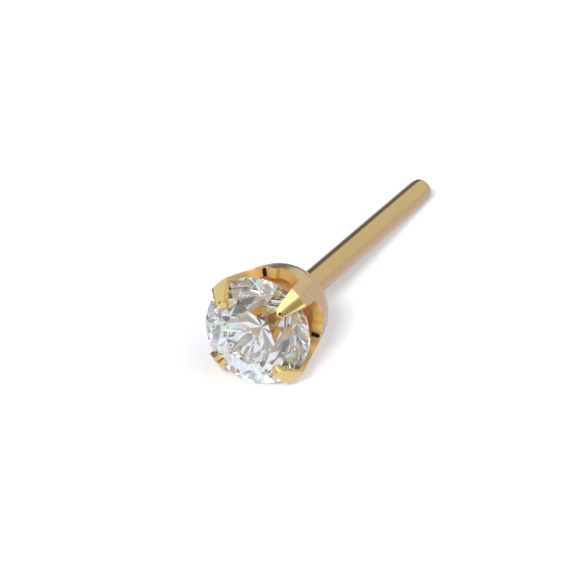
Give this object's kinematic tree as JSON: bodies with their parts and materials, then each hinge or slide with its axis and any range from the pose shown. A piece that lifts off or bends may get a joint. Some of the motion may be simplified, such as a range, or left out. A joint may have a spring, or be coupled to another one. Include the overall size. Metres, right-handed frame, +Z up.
{
  "type": "stud earring",
  "caption": "Stud earring: a round brilliant-cut stone held by folded claws on a notched gold cup, with a straight post soldered behind.",
  "frame": {"origin": "centre of the stud's outline on the surface it lies on", "axes": "+Z up, +Y from the stone towards the end of the post; the stone faces -Y and a little upwards"},
  "size_m": [0.003, 0.0136, 0.0031],
  "materials": {
    "gold_plate": "polished yellow gold plate",
    "clear_stone": "polished facets, colourless"
  },
  "bodies": {
    "root": {"claw_setting_with_post": "gold_plate", "stone": "clear_stone"}
  },
  "joints": []
}
